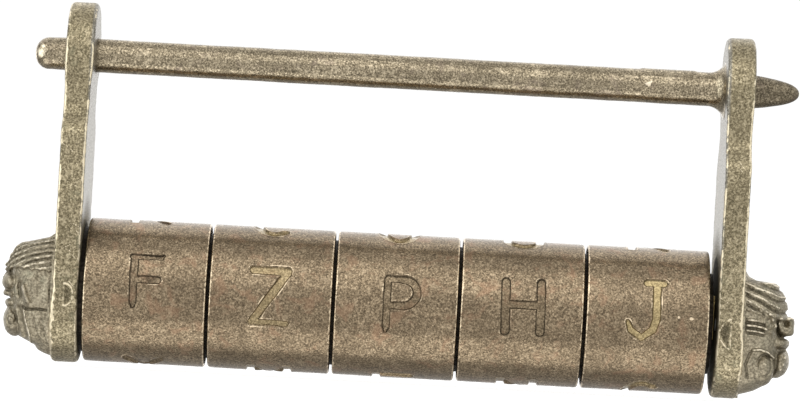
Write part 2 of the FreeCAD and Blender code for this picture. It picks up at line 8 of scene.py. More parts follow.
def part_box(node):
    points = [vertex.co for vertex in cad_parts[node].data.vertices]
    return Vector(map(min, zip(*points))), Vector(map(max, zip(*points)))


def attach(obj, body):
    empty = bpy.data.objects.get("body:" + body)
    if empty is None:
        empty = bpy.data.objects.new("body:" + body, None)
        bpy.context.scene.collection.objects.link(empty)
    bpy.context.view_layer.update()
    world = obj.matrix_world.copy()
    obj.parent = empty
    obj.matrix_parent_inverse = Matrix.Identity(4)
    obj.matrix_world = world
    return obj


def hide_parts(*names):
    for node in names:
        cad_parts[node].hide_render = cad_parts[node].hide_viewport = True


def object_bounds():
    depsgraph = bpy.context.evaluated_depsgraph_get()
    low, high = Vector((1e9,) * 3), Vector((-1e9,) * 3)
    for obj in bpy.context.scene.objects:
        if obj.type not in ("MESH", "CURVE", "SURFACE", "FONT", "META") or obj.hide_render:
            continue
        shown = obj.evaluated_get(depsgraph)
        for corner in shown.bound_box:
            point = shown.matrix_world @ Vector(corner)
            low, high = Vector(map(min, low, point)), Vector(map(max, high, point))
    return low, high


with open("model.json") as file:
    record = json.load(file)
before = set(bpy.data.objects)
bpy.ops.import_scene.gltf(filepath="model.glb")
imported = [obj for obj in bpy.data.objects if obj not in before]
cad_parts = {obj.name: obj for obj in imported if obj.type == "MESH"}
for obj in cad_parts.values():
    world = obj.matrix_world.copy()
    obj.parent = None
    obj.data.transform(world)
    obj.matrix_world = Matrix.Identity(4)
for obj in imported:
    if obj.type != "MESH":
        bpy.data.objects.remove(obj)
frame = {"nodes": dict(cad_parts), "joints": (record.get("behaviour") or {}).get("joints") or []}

# Letter-wheel padlock in antique bronze. Lengths below are in millimetres unless a name says otherwise;
# build() turns them into metres. +X runs along the wheels, the front is -Y, +Z points up to the rod.
size_at_load = [list(corner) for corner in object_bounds()]
MM = 0.001
joints = {j["name"]: j for j in frame["joints"]}
AXIS_Z = joints["wheel_1_turn"]["pos_m"][2] / MM


def box(node):
    low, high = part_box(node)
    return np.array(low) / MM, np.array(high) / MM


# ---------------------------------------------------------------- noise and small maths
MIX_X, MIX_Y, MIX_Z, MIX = 374761393, 668265263, 1103515245, 1274126177  # odd factors that scramble the bits
WORD = 0xFFFFFFFF
FAR = 9.0  # a distance past the reach of every mark


def lattice(ix, iy, iz, seed):
    """A repeatable value from -1 to 1 for each lattice corner."""
    h = (ix * MIX_X + iy * MIX_Y + iz * MIX_Z + seed * MIX) & WORD
    h = ((h ^ (h >> 13)) * MIX) & WORD
    return ((h ^ (h >> 16)) & 0xFFFF) / 32767.5 - 1.0


def noise(p, size, seed):
    """Smooth noise from -1 to 1 with lumps about size across."""
    q = p / size
    i = np.floor(q).astype(np.int64)
    f = q - i
    f = f * f * (3 - 2 * f)
    weight = (1 - f, f)
    total = 0.0
    for a in (0, 1):
        for b in (0, 1):
            for c in (0, 1):
                w = weight[a][:, 0] * weight[b][:, 1] * weight[c][:, 2]
                total = total + w * lattice(i[:, 0] + a, i[:, 1] + b, i[:, 2] + c, seed)
    return total


def ramp(x, low, high):
    """0 below low, 1 above high, with a smooth rise between them."""
    t = np.clip((x - low) / (high - low), 0, 1)
    return t * t * (3 - 2 * t)


def smin(a, b, k):
    """The smaller of a and b, blended where they are within k of each other."""
    h = np.clip(0.5 + 0.5 * (b - a) / k, 0, 1)
    return b * (1 - h) + a * h - k * h * (1 - h)


def smax(a, b, k):
    return -smin(-a, -b, k)


def bell(x, width):
    """1 at 0, fading to nothing a few widths away."""
    return np.exp(-(x / width) ** 2)


def chain(x, y, points):
    """Distance from (x, y) to a chain of straight strokes through points of (x, y, half width)."""
    best = np.full(x.shape, FAR)
    for (x0, y0, w0), (x1, y1, w1) in zip(points[:-1], points[1:]):
        dx, dy = x1 - x0, y1 - y0
        t = np.clip(((x - x0) * dx + (y - y0) * dy) / (dx * dx + dy * dy + 1e-12), 0, 1)
        best = np.minimum(best, np.hypot(x - x0 - t * dx, y - y0 - t * dy) - (w0 + t * (w1 - w0)))
    return best


# ---------------------------------------------------------------- meshes
SLAB = 12    # layers of the grid that are worked out at a time
POLISH = 2   # steps that pull the vertices onto the surface


def build(name, verts, faces, body, slot, material, replaces, **attributes):
    """Add a smooth piece, ride it on its body and hide the nodes it stands in for. slot is not used."""
    mesh = bpy.data.meshes.new(name)
    corners = (np.asarray(verts) * MM).tolist()
    mesh.from_pydata([tuple(v) for v in corners], [], [tuple(f) for f in faces])
    for key, values in attributes.items():
        layer = mesh.attributes.new(key, "FLOAT", "POINT")
        layer.data.foreach_set("value", np.asarray(values, np.float32))
    mesh.polygons.foreach_set("use_smooth", [True] * len(mesh.polygons))
    mesh.materials.append(material)
    mesh.update()
    obj = bpy.data.objects.new(name, mesh)
    bpy.context.scene.collection.objects.link(obj)
    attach(obj, body)
    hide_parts(*replaces)


def skin(field, low, high, step):
    """A quad mesh where field is zero, between the corners low and high."""
    low = np.asarray(low, float)
    n = [int(math.ceil((h - l) / step)) + 1 for l, h in zip(low, high)]
    axes = [low[k] + step * np.arange(n[k]) for k in range(3)]
    value = np.empty(n)
    for s in range(0, n[0], SLAB):
        part = np.stack(np.meshgrid(axes[0][s:s + SLAB], axes[1], axes[2], indexing="ij"), -1)
        value[s:s + SLAB] = field(part.reshape(-1, 3)).reshape(part.shape[:3])
    # cells with corners on both sides of the surface get one vertex each
    inside = value < 0
    count = sum(inside[a:n[0] - 1 + a, b:n[1] - 1 + b, c:n[2] - 1 + c].astype(np.int8)
                for a in (0, 1) for b in (0, 1) for c in (0, 1))
    mixed = (count > 0) & (count < 8)
    index = -np.ones(mixed.shape, np.int64)
    index[mixed] = np.arange(int(mixed.sum()))
    cells = np.argwhere(mixed)
    total, hits = np.zeros((len(cells), 3)), np.zeros(len(cells))
    unit = np.eye(3, dtype=np.int64)
    quads = []
    for axis in range(3):
        one, two = unit[(axis + 1) % 3], unit[(axis + 2) % 3]
        # the vertex is the mean of the places where the surface cuts the cell's edges
        for shift in (0 * one, one, two, one + two):
            a = cells + shift
            b = a + unit[axis]
            va, vb = value[tuple(a.T)], value[tuple(b.T)]
            cross = (va < 0) != (vb < 0)
            t = va[cross] / (va[cross] - vb[cross])
            total[cross] += a[cross] + t[:, None] * unit[axis]
            hits[cross] += 1
        near = [slice(None)] * 3
        far = [slice(None)] * 3
        near[axis], far[axis] = slice(0, -1), slice(1, None)
        # every cut edge gets a quad between the four cells around it
        edges = np.argwhere(inside[tuple(near)] != inside[tuple(far)])
        for way in (one, two):
            k = int(np.argmax(way))
            edges = edges[(edges[:, k] > 0) & (edges[:, k] < n[k] - 1)]
        around = [index[tuple((edges - s).T)] for s in (0 * one, one, one + two, two)]
        quad = np.stack(around, -1)
        flip = ~inside[tuple(edges.T)]
        quad[flip] = quad[flip][:, ::-1]
        quads.append(quad)
    verts = low + step * total / hits[:, None]
    probe = 0.2 * step
    most = 0.4 * step
    for _ in range(POLISH):
        f = field(verts)
        slope = np.stack([field(verts + probe * unit[k]) - f for k in range(3)], -1) / probe
        move = f / np.maximum((slope ** 2).sum(1), 0.2)
        verts -= np.clip(move[:, None] * slope, -most, most)
    return verts, np.concatenate(quads)


def lathe(stations, angles, radius):
    """Rings of vertices about the X axis at stations of (x, base radius). radius(x, base, angle) gives each
    point's own radius; the angle runs from the front (-Y) over the top. The end rings stay open."""
    x = np.array([s[0] for s in stations])[:, None] + 0 * angles[None]
    base = np.array([s[1] for s in stations])[:, None] + 0 * angles[None]
    turn = angles[None] + 0 * x
    r = radius(x.ravel(), base.ravel(), turn.ravel())
    verts = np.stack([x.ravel(), -r * np.cos(turn.ravel()), r * np.sin(turn.ravel())], -1)
    rows, cols = x.shape
    i, j = np.meshgrid(np.arange(rows - 1), np.arange(cols), indexing="ij")
    k = (j + 1) % cols
    faces = np.stack([i * cols + j, (i + 1) * cols + j, (i + 1) * cols + k, i * cols + k], -1).reshape(-1, 4)
    return verts, faces, rows, cols


# ---------------------------------------------------------------- materials
class Nodes:
    """A node material on a Principled shader. Its textures are measured in millimetres on the object."""

    def __init__(self, name):
        self.material = bpy.data.materials.new(name)
        self.material.use_nodes = True
        self.tree = self.material.node_tree
        self.tree.nodes.clear()
        out = self.tree.nodes.new("ShaderNodeOutputMaterial")
        self.shader = self.tree.nodes.new("ShaderNodeBsdfPrincipled")
        self.link(self.shader.outputs[0], out.inputs["Surface"])
        place = self.tree.nodes.new("ShaderNodeTexCoord").outputs["Object"]
        scale = self.tree.nodes.new("ShaderNodeVectorMath")
        scale.operation = "SCALE"
        scale.inputs["Scale"].default_value = 1 / MM
        self.link(place, scale.inputs[0])
        self.mm = scale.outputs[0]

    def link(self, a, b):
        self.tree.links.new(a, b)

    def put(self, socket, value):
        if isinstance(value, bpy.types.NodeSocket):
            self.link(value, socket)
        elif isinstance(value, (tuple, list)) and len(value) == 3 and socket.type == "RGBA":
            socket.default_value = (*value, 1.0)
        else:
            socket.default_value = value

    def noise(self, scale, detail, rough, stretch=None, warp=0.0):
        node = self.tree.nodes.new("ShaderNodeTexNoise")
        node.inputs["Scale"].default_value = scale
        node.inputs["Detail"].default_value = detail
        node.inputs["Roughness"].default_value = rough
        node.inputs["Distortion"].default_value = warp
        where = self.mm
        if stretch:
            m = self.tree.nodes.new("ShaderNodeVectorMath")
            m.operation = "MULTIPLY"
            m.inputs[1].default_value = stretch
            self.link(where, m.inputs[0])
            where = m.outputs[0]
        self.link(where, node.inputs["Vector"])
        return node.outputs["Fac"]

    def step(self, value, low, high, to_low=0.0, to_high=1.0):
        node = self.tree.nodes.new("ShaderNodeMapRange")
        node.interpolation_type = "SMOOTHSTEP"
        self.put(node.inputs["Value"], value)
        for key, v in (("From Min", low), ("From Max", high), ("To Min", to_low), ("To Max", to_high)):
            node.inputs[key].default_value = v
        return node.outputs["Result"]

    def math(self, operation, a, b=0.0, clamp=False):
        node = self.tree.nodes.new("ShaderNodeMath")
        node.operation = operation
        node.use_clamp = clamp
        self.put(node.inputs[0], a)
        self.put(node.inputs[1], b)
        return node.outputs[0]

    def mix(self, factor, a, b):
        node = self.tree.nodes.new("ShaderNodeMix")
        node.data_type = "RGBA"
        self.put(node.inputs["Factor"], factor)
        self.put([s for s in node.inputs if s.name == "A" and s.type == "RGBA"][0], a)
        self.put([s for s in node.inputs if s.name == "B" and s.type == "RGBA"][0], b)
        return [s for s in node.outputs if s.type == "RGBA"][0]

    def attribute(self, name):
        node = self.tree.nodes.new("ShaderNodeAttribute")
        node.attribute_name = name
        return node.outputs["Fac"]

    def bump(self, height, strength, distance, below=None):
        node = self.tree.nodes.new("ShaderNodeBump")
        node.inputs["Strength"].default_value = strength
        node.inputs["Distance"].default_value = distance * MM
        self.put(node.inputs["Height"], height)
        if below is not None:
            self.link(below, node.inputs["Normal"])
        return node.outputs[0]

    def finish(self, colour, roughness, normal=None, metallic=0.9):
        self.put(self.shader.inputs["Base Color"], colour)
        self.put(self.shader.inputs["Roughness"], roughness)
        self.put(self.shader.inputs["Metallic"], metallic)
        if normal is not None:
            self.put(self.shader.inputs["Normal"], normal)
        return self.material


def darker(colour, part):
    return [c * part for c in colour]


GRAIN_RELIEF, CLOUD_RELIEF = 0.02, 0.06
BARE_SHADE, DIRT_SHADE = 0.78, 0.35


def antique(name, dark, mid, light, gold, tarnish, tarnish_at=0.55, grain=4.6, rough=(0.27, 0.46),
            floor=None):
    """Antique bronze: a brown skin with fine bright grains and cloudy tarnish. It is bare pale metal where
    the wear mask is high (on the wheels' rims also a painted highlight), dark where the dirt-and-shade mask
    is high (dirt, and painted shade between pieces) and between the two colours of floor where "floor" is
    high (golden letter floors, or a painted grey reflection on the plates' inner faces). rough holds the
    roughness of the bright and of the dark grains."""
    m = Nodes(name)
    speck = m.noise(grain, 3.0, 0.62)
    fine = m.noise(grain * 2.7, 2.0, 0.6)
    cloud = m.noise(0.42, 4.0, 0.6, warp=0.6)
    drift = m.noise(0.16, 2.0, 0.5)
    patch = m.noise(1.25, 3.0, 0.6)
    chips = m.noise(2.3, 3.0, 0.6)
    # grains
    colour = m.mix(m.step(speck, 0.33, 0.6), dark, mid)
    colour = m.mix(m.step(speck, 0.52, 0.74), colour, light)
    colour = m.mix(m.math("MULTIPLY", m.step(fine, 0.54, 0.72), 0.55), colour, light)
    colour = m.mix(m.math("MULTIPLY", m.step(fine, 0.46, 0.3), 0.5), colour, dark)
    # patches, clouds and slow changes along the piece
    colour = m.mix(m.step(patch, 0.46, 0.3, 0.0, 0.38), colour, dark)
    colour = m.mix(m.step(patch, 0.54, 0.7, 0.0, 0.34), colour, light)
    clouded = m.math("MULTIPLY", m.step(cloud, tarnish_at, tarnish_at + 0.16), 0.7)
    colour = m.mix(clouded, colour, m.mix(0.6, colour, tarnish))
    colour = m.mix(m.step(drift, 0.35, 0.7, 0.0, 0.28), colour, dark)
    # golden letter floors on the wheels; on the plates' inner faces the floor colours paint a grey reflection
    if floor is not None:
        colour = m.mix(m.attribute("floor"), colour, m.mix(m.step(speck, 0.4, 0.65), *floor))
    # bare metal, broken up at its border
    wear = m.attribute("wear")
    ragged = m.math("ADD", wear, m.math("MULTIPLY", m.math("SUBTRACT", chips, 0.5), 1.1))
    bare = m.step(m.math("MULTIPLY", ragged, m.step(wear, 0.05, 0.4)), 0.42, 0.72)
    colour = m.mix(bare, colour, m.mix(m.step(fine, 0.35, 0.6), darker(gold, BARE_SHADE), gold))
    # dirt, and painted shade where pieces meet or shade each other, both darkening towards the dirt colour
    pit = m.attribute("pit")
    colour = m.mix(m.math("MULTIPLY", pit, 0.85), colour, darker(dark, DIRT_SHADE))
    shine = m.step(speck, 0.3, 0.7, rough[1], rough[0])
    roughness = m.math("ADD", shine, m.math("MULTIPLY", pit, 0.45), clamp=True)
    normal = m.bump(m.math("ADD", speck, m.math("MULTIPLY", fine, 0.5)), 0.55, GRAIN_RELIEF)
    normal = m.bump(cloud, 0.35, CLOUD_RELIEF, normal)
    return m.finish(colour, roughness, normal)


wheel_bronze = antique(
    "wheel_bronze", dark=(0.082, 0.06, 0.037), mid=(0.28, 0.21, 0.13), light=(0.59, 0.462, 0.308),
    gold=(0.84, 0.68, 0.47), tarnish=(0.37, 0.22, 0.135), tarnish_at=0.52, rough=(0.16, 0.34),
    floor=((0.30, 0.23, 0.115), (0.56, 0.44, 0.23)))
# plate_bronze's floor colours paint a neutral grey reflection on the plates' inner faces
plate_bronze = antique(
    "plate_bronze", dark=(0.10, 0.082, 0.048), mid=(0.34, 0.285, 0.175), light=(0.74, 0.635, 0.43),
    gold=(0.88, 0.76, 0.54), tarnish=(0.20, 0.20, 0.13), grain=4.0,
    floor=((0.17, 0.155, 0.125), (0.31, 0.285, 0.235)))
rod_bronze = antique(
    "rod_bronze", dark=(0.075, 0.06, 0.038), mid=(0.36, 0.295, 0.195), light=(0.84, 0.715, 0.51),
    gold=(0.92, 0.80, 0.60), tarnish=(0.26, 0.20, 0.16), grain=4.8, rough=(0.13, 0.30))
head_bronze = antique(
    "head_bronze", dark=(0.17, 0.145, 0.10), mid=(0.37, 0.32, 0.225), light=(0.56, 0.49, 0.36),
    gold=(0.84, 0.75, 0.58), tarnish=(0.16, 0.16, 0.11), grain=3.6, rough=(0.36, 0.6))


def plain_metal(name, dark, light, rough, stretch=(1, 1, 1)):
    """Worked metal with fine streaks, shorter along the axes that stretch is large on."""
    m = Nodes(name)
    grain = m.noise(3.0, 3.0, 0.6, stretch=stretch)
    stain = m.noise(0.35, 3.0, 0.6)
    colour = m.mix(m.step(grain, 0.3, 0.7), dark, light)
    colour = m.mix(m.step(stain, 0.5, 0.75, 0.0, 0.5), colour, dark)
    shine = m.step(grain, 0.3, 0.7, rough[1], rough[0])
    return m.finish(colour, shine, m.bump(grain, 0.4, 0.006), 1.0)


raw_brass = plain_metal("raw_brass", (0.40, 0.29, 0.12), (0.74, 0.56, 0.26), (0.24, 0.42), (6, 1, 1))
# nearly black: painted shade for the spacers and spindle, which sit in the shaded gaps between the wheels
dark_spacer = plain_metal("dark_spacer", (0.012, 0.010, 0.008), (0.035, 0.028, 0.02), (0.45, 0.65))
steel = plain_metal("steel_fittings", (0.36, 0.355, 0.35), (0.62, 0.61, 0.60), (0.25, 0.42), (1, 5, 5))


def works_metal(node):
    """The finish of a CAD node; the pieces below replace the nodes that are bronze."""
    if node == "comb_bar" or node.endswith("_gate"):
        return raw_brass
    if node.startswith("wheel_spacer") or node in ("spindle", "spindle_clip"):
        return dark_spacer
    return steel


for node, obj in frame["nodes"].items():
    obj.data.materials.clear()
    obj.data.materials.append(works_metal(node))

# ---------------------------------------------------------------- letters
# half a letter's width, half its height and half a stroke's width
A, B, W = 2.0, 3.15, 0.52
OVAL_STEPS = 22


def oval(start, stop, rx=A, ry=B, y=0.0, x=0.0, w=W):
    """A stroke along an arc of an ellipse about (x, y), from start to stop degrees."""
    turns = [math.radians(start + (stop - start) * k / OVAL_STEPS) for k in range(OVAL_STEPS + 1)]
    return [(x + rx * math.cos(t), y + ry * math.sin(t), w) for t in turns]


def stroke(*points):
    """A stroke through points of (x, y) or (x, y, half width)."""
    return [(*p, W) if len(p) == 2 else p for p in points]


GLYPHS = {
    "F": [stroke((-1.56, 2.95, 0.5), (-1.53, -2.5, 0.46), (-1.52, -3.05, 0.28)),
          stroke((-1.8, 3.08, 0.36), (1.7, 3.08, 0.31)), stroke((1.55, 3.05, 0.28), (2.0, 3.36, 0.15)),
          stroke((-1.5, 0.22, 0.47), (1.36, 0.22, 0.47))],
    "Z": [stroke((-2.1, 3.08, 0.5), (2.05, 3.08, 0.52)), stroke((2.02, 2.9, 0.52), (-1.85, -3.05, 0.5)),
          stroke((-2.15, -3.3, 0.36), (2.15, -3.36, 0.33))],
    "P": [stroke((-1.83, 3.1, 0.46), (-1.82, -2.7, 0.45), (-1.84, -3.25, 0.26)),
          stroke((-1.8, 3.2, 0.42), (0.1, 3.2, 0.43)) + oval(86, -86, 1.68, 1.62, 1.56, 0.1, 0.5)
          + stroke((-1.8, -0.08, 0.42))],
    "H": [stroke((-2.28, 3.0, 0.55), (-2.15, -3.05, 0.57)), stroke((2.04, 3.0, 0.54), (2.1, -3.02, 0.55)),
          stroke((-2.2, 0.16, 0.5), (2.0, 0.16, 0.5))],
    "J": [stroke((0.1, 3.38, 0.46), (2.1, 3.38, 0.46)),
          stroke((1.32, 3.3, 0.5), (1.32, -1.3, 0.5), (0.98, -2.4, 0.48), (-0.32, -3.46, 0.38),
                 (-1.68, -2.62, 0.4), (-2.08, -1.62, 0.28))],
    "K": [stroke((-A, -B), (-A, B)), stroke((-A + 0.2, -0.3), (A, B)), stroke((-0.7, 0.5), (A, -B))],
    "X": [stroke((-A, -2.75), (A, 2.75)), stroke((-A, 2.75), (A, -2.75))],
    "M": [stroke((-2.25, -B), (-2.05, 2.9), (0, -1.2), (2.3, 2.9), (2.4, -B))],
    "T": [stroke((0, -B), (0, B)), stroke((-A, B), (A, B))],
    "C": [oval(50, 310)],
    "O": [oval(0, 360)],
    "N": [stroke((-A, -B), (-A, B), (A, -B), (A, B))],
    "L": [stroke((-A, B), (-A, -B), (A, -B))],
    "V": [stroke((-A, B), (0, -B), (A, B))],
    "E": [stroke((A, B), (-A, B), (-A, -B), (A, -B)), stroke((-A, 0), (1.4, 0))],
    "U": [stroke((-A, B)) + oval(180, 360, A, 1.95, -1.2) + stroke((A, B))],
    "Y": [stroke((-A, B), (0, 0.1), (A, B)), stroke((0, 0.1), (0, -B))],
}
# For each wheel: its letters from the front over the top, their angles, how far right of the wheel's middle
# the front letter sits, how dirty the front letter is, and how golden each letter's floor is.
WHEELS = [
    dict(letters="FKTX", places=(10.0, 98, 188, 277), aside=0.15, dirt=0.95, golds=(0.0, 0.1, 0.3, 0.1)),
    dict(letters="ZCNM", places=(4.0, 86, 178, 272), aside=-0.1, dirt=0.35, golds=(0.5, 0.7, 0.5, 0.3)),
    dict(letters="POVE", places=(2.0, 86, 176, 267), aside=0.7, dirt=0.7, golds=(0.05, 0.7, 0.5, 0.3)),
    dict(letters="HUYN", places=(6.5, 89, 180, 271), aside=0.2, dirt=0.95, golds=(0.05, 0.6, 0.2, 0.2)),
    dict(letters="JKLC", places=(9.5, 98, 188, 278), aside=-0.3, dirt=0.45, golds=(0.9, 0.2, 0.5, 0.6)),
]
# bare chips by wheel: place right of the wheel's middle, height above the axis, size
CHIPS = {5: ((3.72, 0.7, 0.2), (5.3, 0.6, 0.26))}
# the rims' rounding, the rings' bore, and how far each rim stands out past the sides that the spacers run on
RIM, BORE, BULGE = 0.3, 6.2, 0.12
SIDE_RADIUS, BULGE_RADIUS, BULGE_OUTER = 7.76, 8.0, 8.25
COARSE, FINE = 0.28, 0.075                  # spacing of the rings, away from the letters and across them
LETTER_SPAN, LETTER_TURN = 27.5, 0.5        # degrees each side of a letter that are meshed finely, and how
BETWEEN = 25                                # angles from one letter's span to the next
ENGRAVED, LIP_HEIGHT = 0.3, 0.035


def letter_ring(n, letters, places, aside, dirt, golds):
    node = f"wheel_{n}_letter_ring"
    low, high = box(node)
    radius, x0, x1 = (high[1] - low[1]) / 2, low[0], high[0]
    middle = (x0 + x1) / 2
    arc = [math.radians(90 * k / 4) for k in range(5)]
    rim = [(RIM * (1 - math.cos(t)), radius - RIM * (1 - math.sin(t))) for t in arc]
    fine_end = middle + (5.7 if n in CHIPS else 3.3)
    flat = np.concatenate([np.arange(x0 + RIM + COARSE, middle - 3.15, COARSE),
                           np.arange(middle - 3.1, fine_end, FINE),
                           np.arange(fine_end + 0.1, x1 - RIM - 0.1, COARSE)])
    x0, x1 = x0 - BULGE, x1 + BULGE
    stations = [(low[0], BORE), (low[0], SIDE_RADIUS), (x0, BULGE_RADIUS), (x0, BULGE_OUTER)]
    stations += [(x0 + a, r) for a, r in rim] + [(x, radius) for x in flat]
    stations += [(x1 - a, r) for a, r in rim[::-1]] + [(x1, BULGE_OUTER), (x1, BULGE_RADIUS)]
    stations += [(high[0], SIDE_RADIUS), (high[0], BORE), (middle, BORE)]
    turns = []
    for centre, after in zip(places, places[1:] + (places[0] + 360,)):
        turns += list(np.arange(centre - LETTER_SPAN, centre + LETTER_SPAN - 0.1, LETTER_TURN))
        turns += list(np.linspace(centre + LETTER_SPAN, after - LETTER_SPAN, BETWEEN)[:-1])
    angles = np.radians(np.array(turns))
    reach = {}

    def letter_gap(x, turn, k):
        """Which points lie near letter k, and how far each of them is from its strokes."""
        away = turn - math.radians(places[k])
        away = (away + math.pi) % (2 * math.pi) - math.pi
        near = np.abs(away) < math.radians(40)
        across = x[near] - middle - (aside if k == 0 else 0)
        up = radius * np.sin(away[near])
        uneven = np.stack([across, up, 0 * up + 7 * k + 31 * n], -1)
        across = across + 0.05 * noise(uneven, 0.9, 3)
        up = up + 0.05 * noise(uneven, 0.9, 4)
        d = np.full(across.shape, FAR)
        for path in GLYPHS[letters[k]]:
            d = np.minimum(d, chain(across, up, path))
        return near, d

    def surface(x, base, turn):
        outer = ramp(base, radius - RIM - 0.02, radius - 0.05)
        gap = np.full(x.shape, FAR)
        gold, dirty = np.zeros(x.shape), np.zeros(x.shape)
        for k in range(len(letters)):
            near, d = letter_gap(x, turn, k)
            gap[near] = np.minimum(gap[near], d)
            dirty[near] = dirt if k == 0 else 0.4
            gold[near] = np.where(d < 0.4, golds[k], gold[near])
        p = np.stack([x, base * np.cos(turn), base * np.sin(turn)], -1)
        sunk = ramp(-gap, -0.06, 0.12)
        lip = bell(gap - 0.14, 0.09)
        r = base - outer * sunk * (ENGRAVED + 0.03 * noise(p, 0.5, 5)) + outer * lip * LIP_HEIGHT
        r = r + outer * (0.018 * noise(p, 3.2, n) + 0.008 * noise(p, 0.7, 6))
        edge = np.minimum(x - x0, x1 - x)
        wobble = 0.05 * noise(p, 0.6, 8) + 0.04 * noise(p, 2.0, 9)
        r = r - ramp(base, radius - RIM - 0.02, radius) * ramp(-edge, -0.5, 0.1) * (0.03 + wobble * 0.6)
        # bare rubbed metal on the rims, which also paints the pale highlight line along each rim; the
        # letters' lips are rubbed bright
        rub_and_rim_glint = ramp(-edge + wobble, -0.4, -0.1) * 0.7
        rub_and_rim_glint = rub_and_rim_glint + lip * (0.98 - 0.4 * dirty) * (0.68 + 0.5 * noise(p, 1.1, 12))
        wear = np.clip(outer * rub_and_rim_glint + 0.06 * sunk * gold, 0, 1)
        for chip_x, chip_z, size in CHIPS.get(n, ()):
            spot = np.hypot(x - middle - chip_x, base * np.sin(turn) - chip_z) + 0.06 * noise(p, 0.2, 25)
            wear = np.maximum(wear, ramp(-spot, -size, -0.6 * size) * (np.cos(turn) > 0) * outer)
        wall = bell(gap + 0.03, 0.07)
        in_letter = outer * (wall * dirty + sunk * (0.24 * dirty - 0.1 * gold))
        # painted shade on the ring's sides, which face the neighbouring wheels and spacers
        painted_side_shade = (1 - outer) * 0.75 * (base < radius - RIM)
        reach.update(wear=wear, pit=np.clip(in_letter + painted_side_shade, 0, 1), floor=outer * sunk * gold)
        return np.where(base < radius - RIM - 0.05, base, r)

    verts, faces, rows, cols = lathe(stations, angles, surface)
    verts[:, 2] += AXIS_Z
    # the bore's last ring joins the first one
    first = (rows - 1) * cols
    last = [[first + j, j, (j + 1) % cols, first + (j + 1) % cols] for j in range(cols)]
    build(f"letter_ring_{n}", verts, np.concatenate([faces, np.array(last)]), f"wheel_{n}", "bronze_wheel",
          wheel_bronze, [node], **reach)


for n, wheel in enumerate(WHEELS, start=1):
    letter_ring(n, **wheel)


# ---------------------------------------------------------------- end plates
class Flat:
    """Distance to a closed outline in the YZ plane, below 0 inside it, looked up on a fine grid."""

    def __init__(self, loop, step=0.06, margin=1.5):
        self.step = step
        self.low = loop.min(0) - margin
        n = np.ceil((loop.max(0) + margin - self.low) / step).astype(int) + 1
        y, z = np.meshgrid(*[self.low[k] + step * np.arange(n[k]) for k in (0, 1)], indexing="ij")
        best, odd = np.full(y.shape, 1e9), np.zeros(y.shape, bool)
        for (y0, z0), (y1, z1) in zip(loop, np.roll(loop, -1, 0)):
            dy, dz = y1 - y0, z1 - z0
            t = np.clip(((y - y0) * dy + (z - z0) * dz) / (dy * dy + dz * dz), 0, 1)
            best = np.minimum(best, (y - y0 - t * dy) ** 2 + (z - z0 - t * dz) ** 2)
            if z0 != z1:
                odd ^= ((z0 > z) != (z1 > z)) & (y < y0 + (z - z0) / (z1 - z0) * dy)
        self.value = np.sqrt(best) * np.where(odd, -1, 1)

    def __call__(self, y, z):
        u, v = (y - self.low[0]) / self.step, (z - self.low[1]) / self.step
        i = np.clip(np.floor(u).astype(int), 0, self.value.shape[0] - 2)
        j = np.clip(np.floor(v).astype(int), 0, self.value.shape[1] - 2)
        a, b = u - i, v - j
        g = self.value
        lower = g[i, j] * (1 - a) + g[i + 1, j] * a
        upper = g[i, j + 1] * (1 - a) + g[i + 1, j + 1] * a
        return lower * (1 - b) + upper * b


# The D in each plate's front edge: its straight side and the top of its bulge as parts of the way through
# the plate from the inside, half its height, how far its middle is below the axis, and the power that shapes
# it (2 is round, 1 a point).
MARKS = {-1: (0.58, 0.28, 1.15, 0.63, 2.0), 1: (0.53, 0.13, 1.6, 1.04, 1.35)}
MARK_DEPTH = 0.36
THICKER, FOOT_FLARE, EYE_FLARE = 0.28, 0.27, 0.22
EYE_RADIUS = {-1: 2.2, 1: 2.07}             # the hole the rod slides in, and the one it is fixed in
PIN_PLACES, PIN_RADIUS = (-4.2, 4.2), 0.82
SPINDLE_RADIUS = 2.52
COMB_HALF_WIDE, COMB_MIDDLE, COMB_HALF_TALL = 1.22, 0.7, 2.72
SCRATCHES = 16


